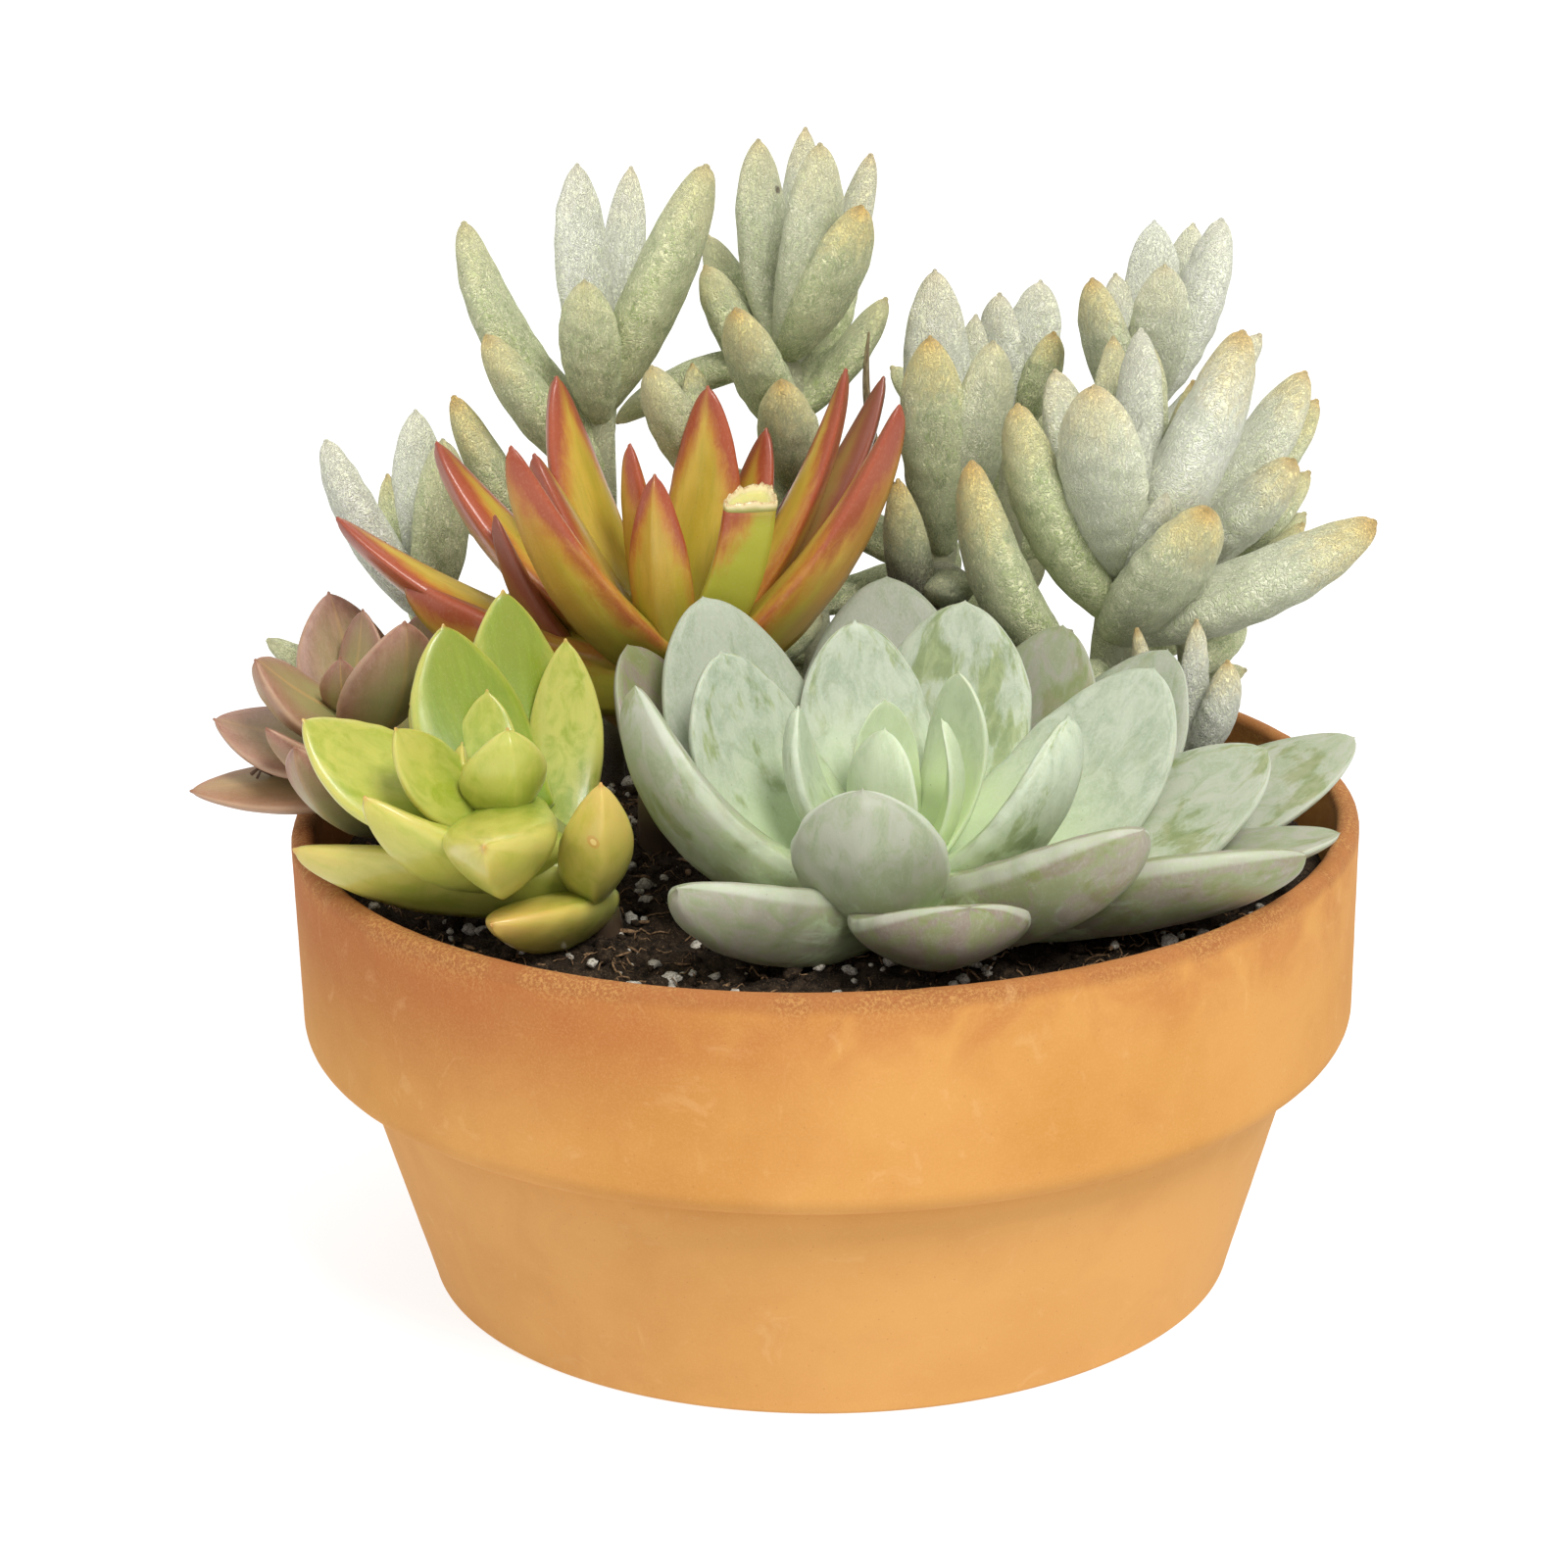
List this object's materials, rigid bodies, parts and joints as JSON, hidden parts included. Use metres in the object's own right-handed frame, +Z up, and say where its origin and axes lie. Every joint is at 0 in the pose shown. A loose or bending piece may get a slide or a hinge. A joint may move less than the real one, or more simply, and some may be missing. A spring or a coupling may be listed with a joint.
{
  "type": "succulent dish garden",
  "caption": "Shallow round terracotta pan planted with mixed succulents: leafy rosettes in front and upright woolly stems behind.",
  "frame": {"origin": "middle of the pan's flat underside, on the surface that it stands on", "axes": "+Z up the pan's axis; the front of the planting, with the large rosette, faces -Y"},
  "size_m": [0.2256, 0.203, 0.2111],
  "materials": {
    "terracotta": "matte unglazed clay",
    "potting_soil": "damp peat with perlite and bark fibres",
    "blue_leaf": "waxy leaf with a pale powdery bloom",
    "lime_leaf": "glossy fleshy leaf",
    "bronze_leaf": "dull waxy leaf",
    "red_leaf": "glossy fleshy leaf",
    "woolly_leaf": "leaf under white felt"
  },
  "bodies": {
    "root": {"pot": "terracotta", "soil": "potting_soil", "blue_rosette": "blue_leaf", "lime_rosette": "lime_leaf", "bronze_rosette": "bronze_leaf", "red_stonecrop": "red_leaf", "woolly_far_left": "woolly_leaf", "woolly_left": "woolly_leaf", "woolly_middle": "woolly_leaf", "woolly_short": "woolly_leaf", "woolly_right_middle": "woolly_leaf", "woolly_back_right": "woolly_leaf", "woolly_right_tall": "woolly_leaf", "woolly_right_front": "woolly_leaf", "woolly_far_right": "woolly_leaf", "woolly_sprig": "woolly_leaf"}
  },
  "joints": []
}
